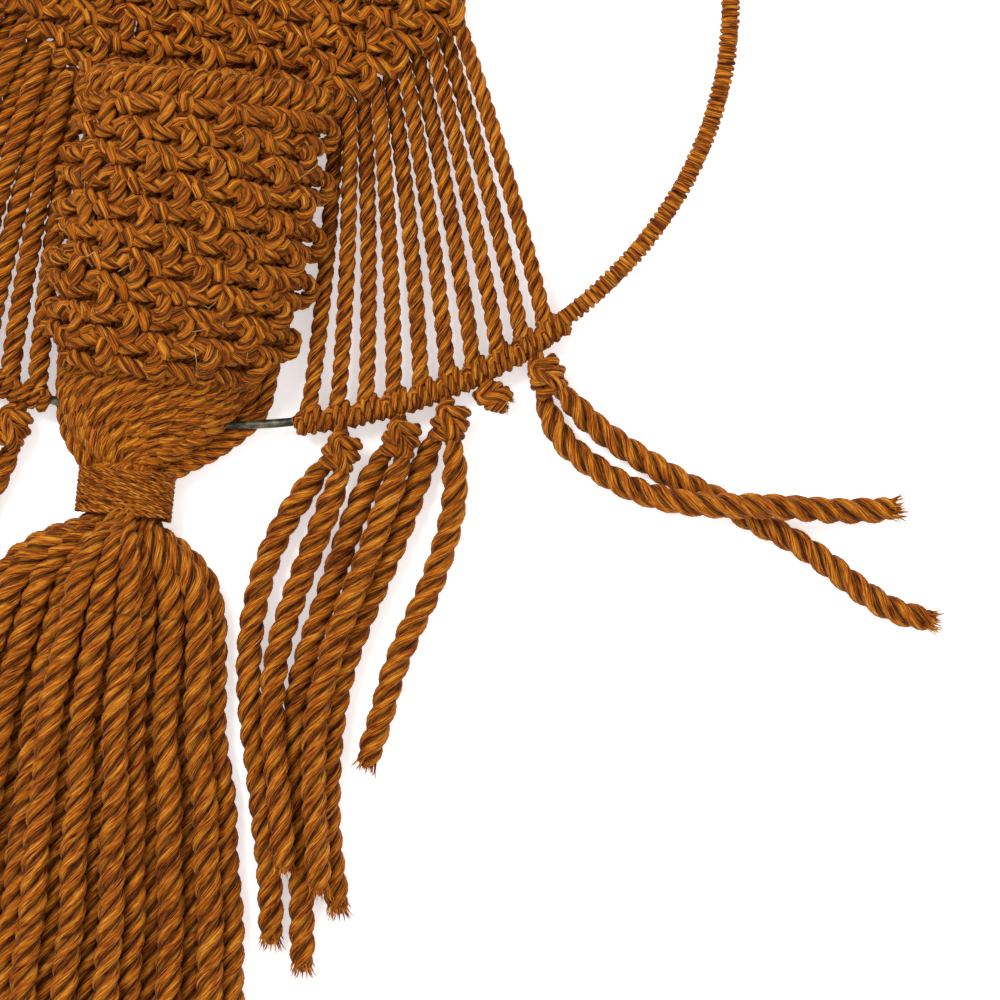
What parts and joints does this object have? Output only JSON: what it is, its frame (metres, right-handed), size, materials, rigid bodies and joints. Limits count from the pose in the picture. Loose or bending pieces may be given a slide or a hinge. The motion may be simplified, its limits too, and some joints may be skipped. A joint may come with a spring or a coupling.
{
  "type": "hanging macrame planter",
  "caption": "Wall-hanging planter: a wire hoop holding a square-knotted cord panel with a knotted pocket, a hanging loop, a tassel and knotted cord tails.",
  "frame": {"origin": "middle of the underside of its box, lying on its back, measured without the loose cords", "axes": "+X to the right seen from the front, +Y towards the hanging loop, +Z out of the front"},
  "size_m": [0.4246, 0.557, 0.0407],
  "materials": {
    "wire": "bare dull wire with a dark olive-grey tarnish",
    "cord": "three-ply twisted cord, heathered rust and gold, slightly fuzzy",
    "yarn": "thin single-ply yarn of the same colour"
  },
  "bodies": {
    "planter": {"hoop": "wire", "hoop_wrap_left": "yarn", "hoop_wrap_right": "yarn", "larks_heads": "cord", "hitches_left": "cord", "hitches_right": "cord", "panel": "cord", "back_cords": "cord", "pocket": "cord", "gather_wrap": "yarn", "drop_cords_left": "cord", "drop_cords_right": "cord"},
    "hanging_loop": {"hanging_loop": "cord"},
    "tassel": {"tassel_head": "cord", "tassel_cord_01": "cord", "tassel_cord_02": "cord", "tassel_cord_03": "cord", "tassel_cord_04": "cord", "tassel_cord_05": "cord", "tassel_cord_06": "cord", "tassel_cord_07": "cord", "tassel_cord_08": "cord", "tassel_cord_09": "cord", "tassel_cord_10": "cord", "tassel_cord_11": "cord", "tassel_cord_12": "cord", "tassel_cord_13": "cord", "tassel_cord_14": "cord", "tassel_cord_15": "cord", "tassel_cord_16": "cord", "tassel_cord_17": "cord", "tassel_cord_18": "cord", "tassel_cord_19": "cord", "tassel_cord_20": "cord"},
    "tails_right_inner": {"tail_knots_right_inner": "cord", "tail_right_1a": "cord", "tail_right_1b": "cord", "tail_right_2a": "cord", "tail_right_2b": "cord", "tail_right_3a": "cord", "tail_right_3b": "cord"},
    "tail_right_4": {"tail_knot_right_4": "cord"},
    "tails_right_5": {"tail_knot_right_5": "cord", "tail_right_5a": "cord", "tail_right_5b": "cord"},
    "tails_left_1": {"tail_knot_left_1": "cord", "tail_left_1a": "cord", "tail_left_1b": "cord"},
    "tails_left_2": {"tail_knot_left_2": "cord", "tail_left_2a": "cord", "tail_left_2b": "cord"},
    "tails_left_3": {"tail_knot_left_3": "cord", "tail_left_3a": "cord", "tail_left_3b": "cord"},
    "tails_left_4": {"tail_knot_left_4": "cord", "tail_left_4a": "cord", "tail_left_4b": "cord"},
    "tails_left_5": {"tail_knot_left_5": "cord", "tail_left_5a": "cord", "tail_left_5b": "cord"}
  },
  "joints": [
    {"name": "hanging_loop_swing", "type": "hinge", "parent": "planter", "child": "hanging_loop", "pos_m": [0, 0.12835, 0.007], "axis": [1, 0, 0], "range_deg": [0, 90]},
    {"name": "tassel_swing", "type": "hinge", "parent": "planter", "child": "tassel", "pos_m": [-0.009, -0.17615, 0.0185], "axis": [-1, 0, 0], "range_deg": [0, 80]},
    {"name": "tails_right_inner_swing", "type": "hinge", "parent": "planter", "child": "tails_right_inner", "pos_m": [0.07138, -0.13104, 0.007], "axis": [-0.9277, -0.3733, 0], "range_deg": [0, 90]},
    {"name": "tail_right_4_swing", "type": "hinge", "parent": "planter", "child": "tail_right_4", "pos_m": [0.09686, -0.1183, 0.007], "axis": [-0.854, -0.5202, 0], "range_deg": [0, 100]},
    {"name": "tails_right_5_swing", "type": "hinge", "parent": "planter", "child": "tails_right_5", "pos_m": [0.11143, -0.1083, 0.007], "axis": [-0.792, -0.6105, 0], "range_deg": [0, 100]},
    {"name": "tails_left_1_swing", "type": "hinge", "parent": "planter", "child": "tails_left_1", "pos_m": [-0.04383, -0.13969, 0.007], "axis": [-0.9206, 0.3904, 0], "range_deg": [0, 90]},
    {"name": "tails_left_2_swing", "type": "hinge", "parent": "planter", "child": "tails_left_2", "pos_m": [-0.06011, -0.13515, 0.007], "axis": [-0.9206, 0.3904, 0], "range_deg": [0, 90]},
    {"name": "tails_left_3_swing", "type": "hinge", "parent": "planter", "child": "tails_left_3", "pos_m": [-0.07445, -0.12977, 0.007], "axis": [-0.9206, 0.3904, 0], "range_deg": [0, 90]},
    {"name": "tails_left_4_swing", "type": "hinge", "parent": "planter", "child": "tails_left_4", "pos_m": [-0.08691, -0.12391, 0.007], "axis": [-0.9206, 0.3904, 0], "range_deg": [0, 90]},
    {"name": "tails_left_5_swing", "type": "hinge", "parent": "planter", "child": "tails_left_5", "pos_m": [-0.10209, -0.11498, 0.007], "axis": [-0.9206, 0.3904, 0], "range_deg": [0, 90]}
  ]
}
